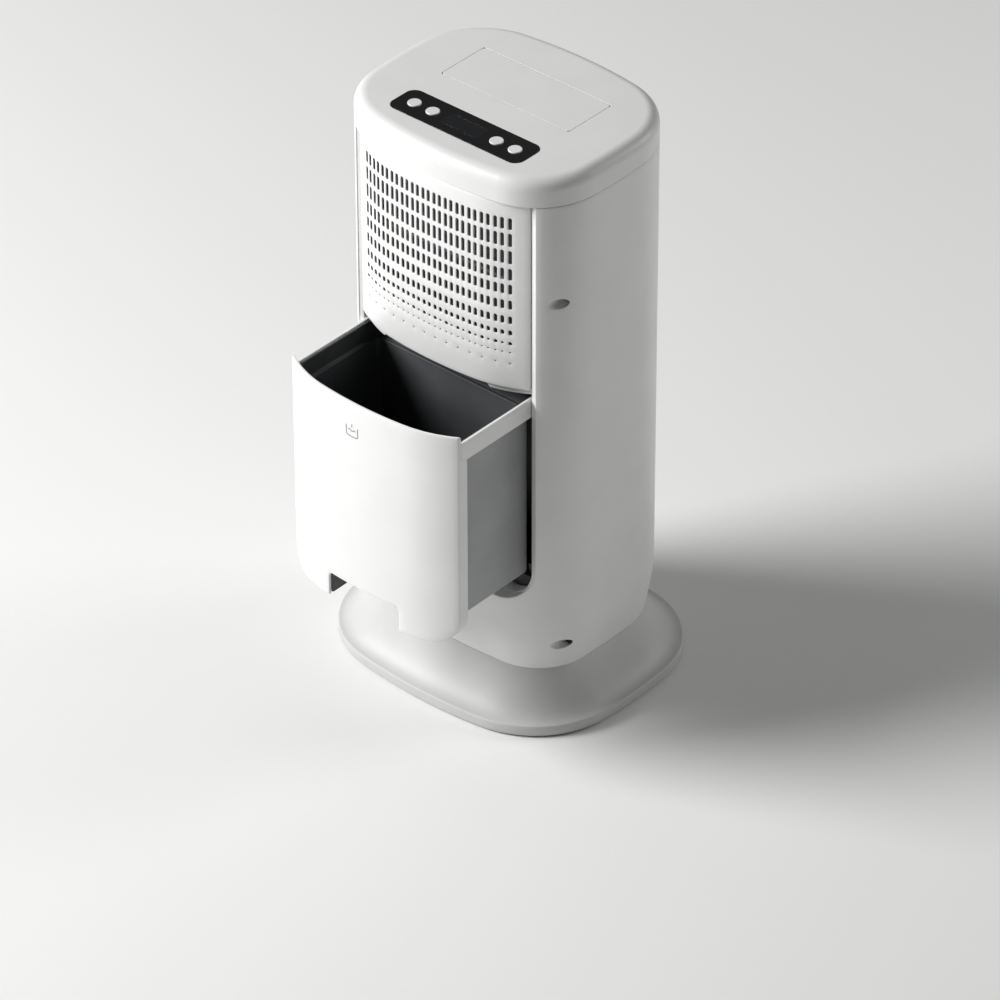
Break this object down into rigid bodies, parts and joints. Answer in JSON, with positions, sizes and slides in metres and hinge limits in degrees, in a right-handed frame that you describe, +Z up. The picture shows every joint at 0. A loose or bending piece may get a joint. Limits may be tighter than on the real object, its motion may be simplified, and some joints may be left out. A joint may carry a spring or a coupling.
{
  "type": "dehumidifier",
  "caption": "Floor-standing dehumidifier: rounded upright casing on a wide flared base, slotted front grille, water bucket that slides out of the front, top flap and keys.",
  "frame": {"origin": "on the floor under the middle of the base plate", "axes": "+Z up, the front with the bucket faces -Y, +X is the machine's right-hand side seen from the front"},
  "size_m": [0.317, 0.3415, 0.6013],
  "materials": {
    "casing_white": "fine moulded texture",
    "front_white": "fine moulded texture",
    "flap_white": "fine moulded texture",
    "bucket_grey": "satin, moulded",
    "liner_grey": "matt, moulded",
    "chassis_grey": "matt, moulded",
    "filter_mesh": "woven nylon net",
    "fascia_black": "polished",
    "display_lens": "tinted, polished",
    "button_white": "satin",
    "rubber": "moulded",
    "steel": "zinc plated",
    "fin_aluminium": "rolled foil",
    "copper": "drawn copper tube",
    "compressor_black": "semi-gloss paint",
    "motor_metal": "zinc coat",
    "wheel_plastic": "moulded",
    "circuit_board": "solder resist",
    "black_plastic": "moulded",
    "brass_pin": "nickelled"
  },
  "bodies": {
    "housing": {"base_feet": "rubber", "base_pan": "chassis_grey", "base_plate": "casing_white", "base_screws": "steel", "bay_liner": "liner_grey", "bay_runners": "liner_grey", "bucket_sensor": "black_plastic", "chassis_shelf": "chassis_grey", "coil_shroud": "chassis_grey", "compressor": "compressor_black", "compressor_feet": "rubber", "condenser_fins": "fin_aluminium", "condenser_tubes": "copper", "control_board": "circuit_board", "control_fascia": "fascia_black", "discharge_pipe": "copper", "display_window": "display_lens", "drain_port": "black_plastic", "drip_tray": "chassis_grey", "evaporator_fins": "fin_aluminium", "evaporator_tubes": "copper", "fan_bulkhead": "chassis_grey", "fan_housing": "chassis_grey", "fan_motor": "motor_metal", "filter_drier": "copper", "humidity_sensor": "circuit_board", "inlet_pins": "brass_pin", "mains_inlet": "black_plastic", "outer_shell": "casing_white", "outlet_guard": "liner_grey", "power_board": "circuit_board", "rear_cover": "casing_white", "rear_screws": "steel", "run_capacitor": "motor_metal", "shell_screws": "steel", "suction_pipe": "copper", "top_cover": "casing_white"},
    "bucket": {"bucket_front": "front_white", "bucket_tank": "bucket_grey", "bucket_frame": "front_white", "float_pin": "steel"},
    "float_arm": {"float": "liner_grey", "float_magnet": "steel"},
    "grille": {"front_grille": "front_white", "filter_frame": "chassis_grey", "filter_mesh": "filter_mesh"},
    "fan": {"fan_wheel": "wheel_plastic", "fan_shaft": "steel"},
    "flap": {"outlet_flap": "flap_white"},
    "plug": {"drain_plug": "rubber"},
    "button_fan_speed_key": {"button_fan_speed": "button_white"},
    "button_mode_key": {"button_mode": "button_white"},
    "button_power_key": {"button_power": "button_white"},
    "button_timer_key": {"button_timer": "button_white"}
  },
  "joints": [
    {"name": "bucket_slide", "type": "slide", "parent": "housing", "child": "bucket", "axis": [0, -1, 0], "range_m": [-0.0967, 0.045]},
    {"name": "float_pivot", "type": "hinge", "parent": "bucket", "child": "float_arm", "pos_m": [0.07, -0.0982, 0.176], "axis": [-1, 0, 0], "range_deg": [0, 35]},
    {"name": "grille_pull", "type": "slide", "parent": "housing", "child": "grille", "axis": [0, -1, 0], "range_m": [0, 0.04]},
    {"name": "fan_spin", "type": "hinge", "parent": "housing", "child": "fan", "pos_m": [0, 0.02, 0.468], "axis": [0, 1, 0], "continuous": true},
    {"name": "flap_hinge", "type": "hinge", "parent": "housing", "child": "flap", "pos_m": [0, 0.05, 0.5985], "axis": [-1, 0, 0], "range_deg": [0, 75]},
    {"name": "plug_pull", "type": "slide", "parent": "housing", "child": "plug", "axis": [0, 1, 0], "range_m": [0, 0.02]},
    {"name": "button_fan_speed_press", "type": "slide", "parent": "housing", "child": "button_fan_speed_key", "axis": [0, 0, -1], "range_m": [0, 0.001], "stiffness_N_per_m": 400, "springref_m": -0.0005},
    {"name": "button_mode_press", "type": "slide", "parent": "housing", "child": "button_mode_key", "axis": [0, 0, -1], "range_m": [0, 0.001], "stiffness_N_per_m": 400, "springref_m": -0.0005},
    {"name": "button_power_press", "type": "slide", "parent": "housing", "child": "button_power_key", "axis": [0, 0, -1], "range_m": [0, 0.001], "stiffness_N_per_m": 400, "springref_m": -0.0005},
    {"name": "button_timer_press", "type": "slide", "parent": "housing", "child": "button_timer_key", "axis": [0, 0, -1], "range_m": [0, 0.001], "stiffness_N_per_m": 400, "springref_m": -0.0005}
  ]
}
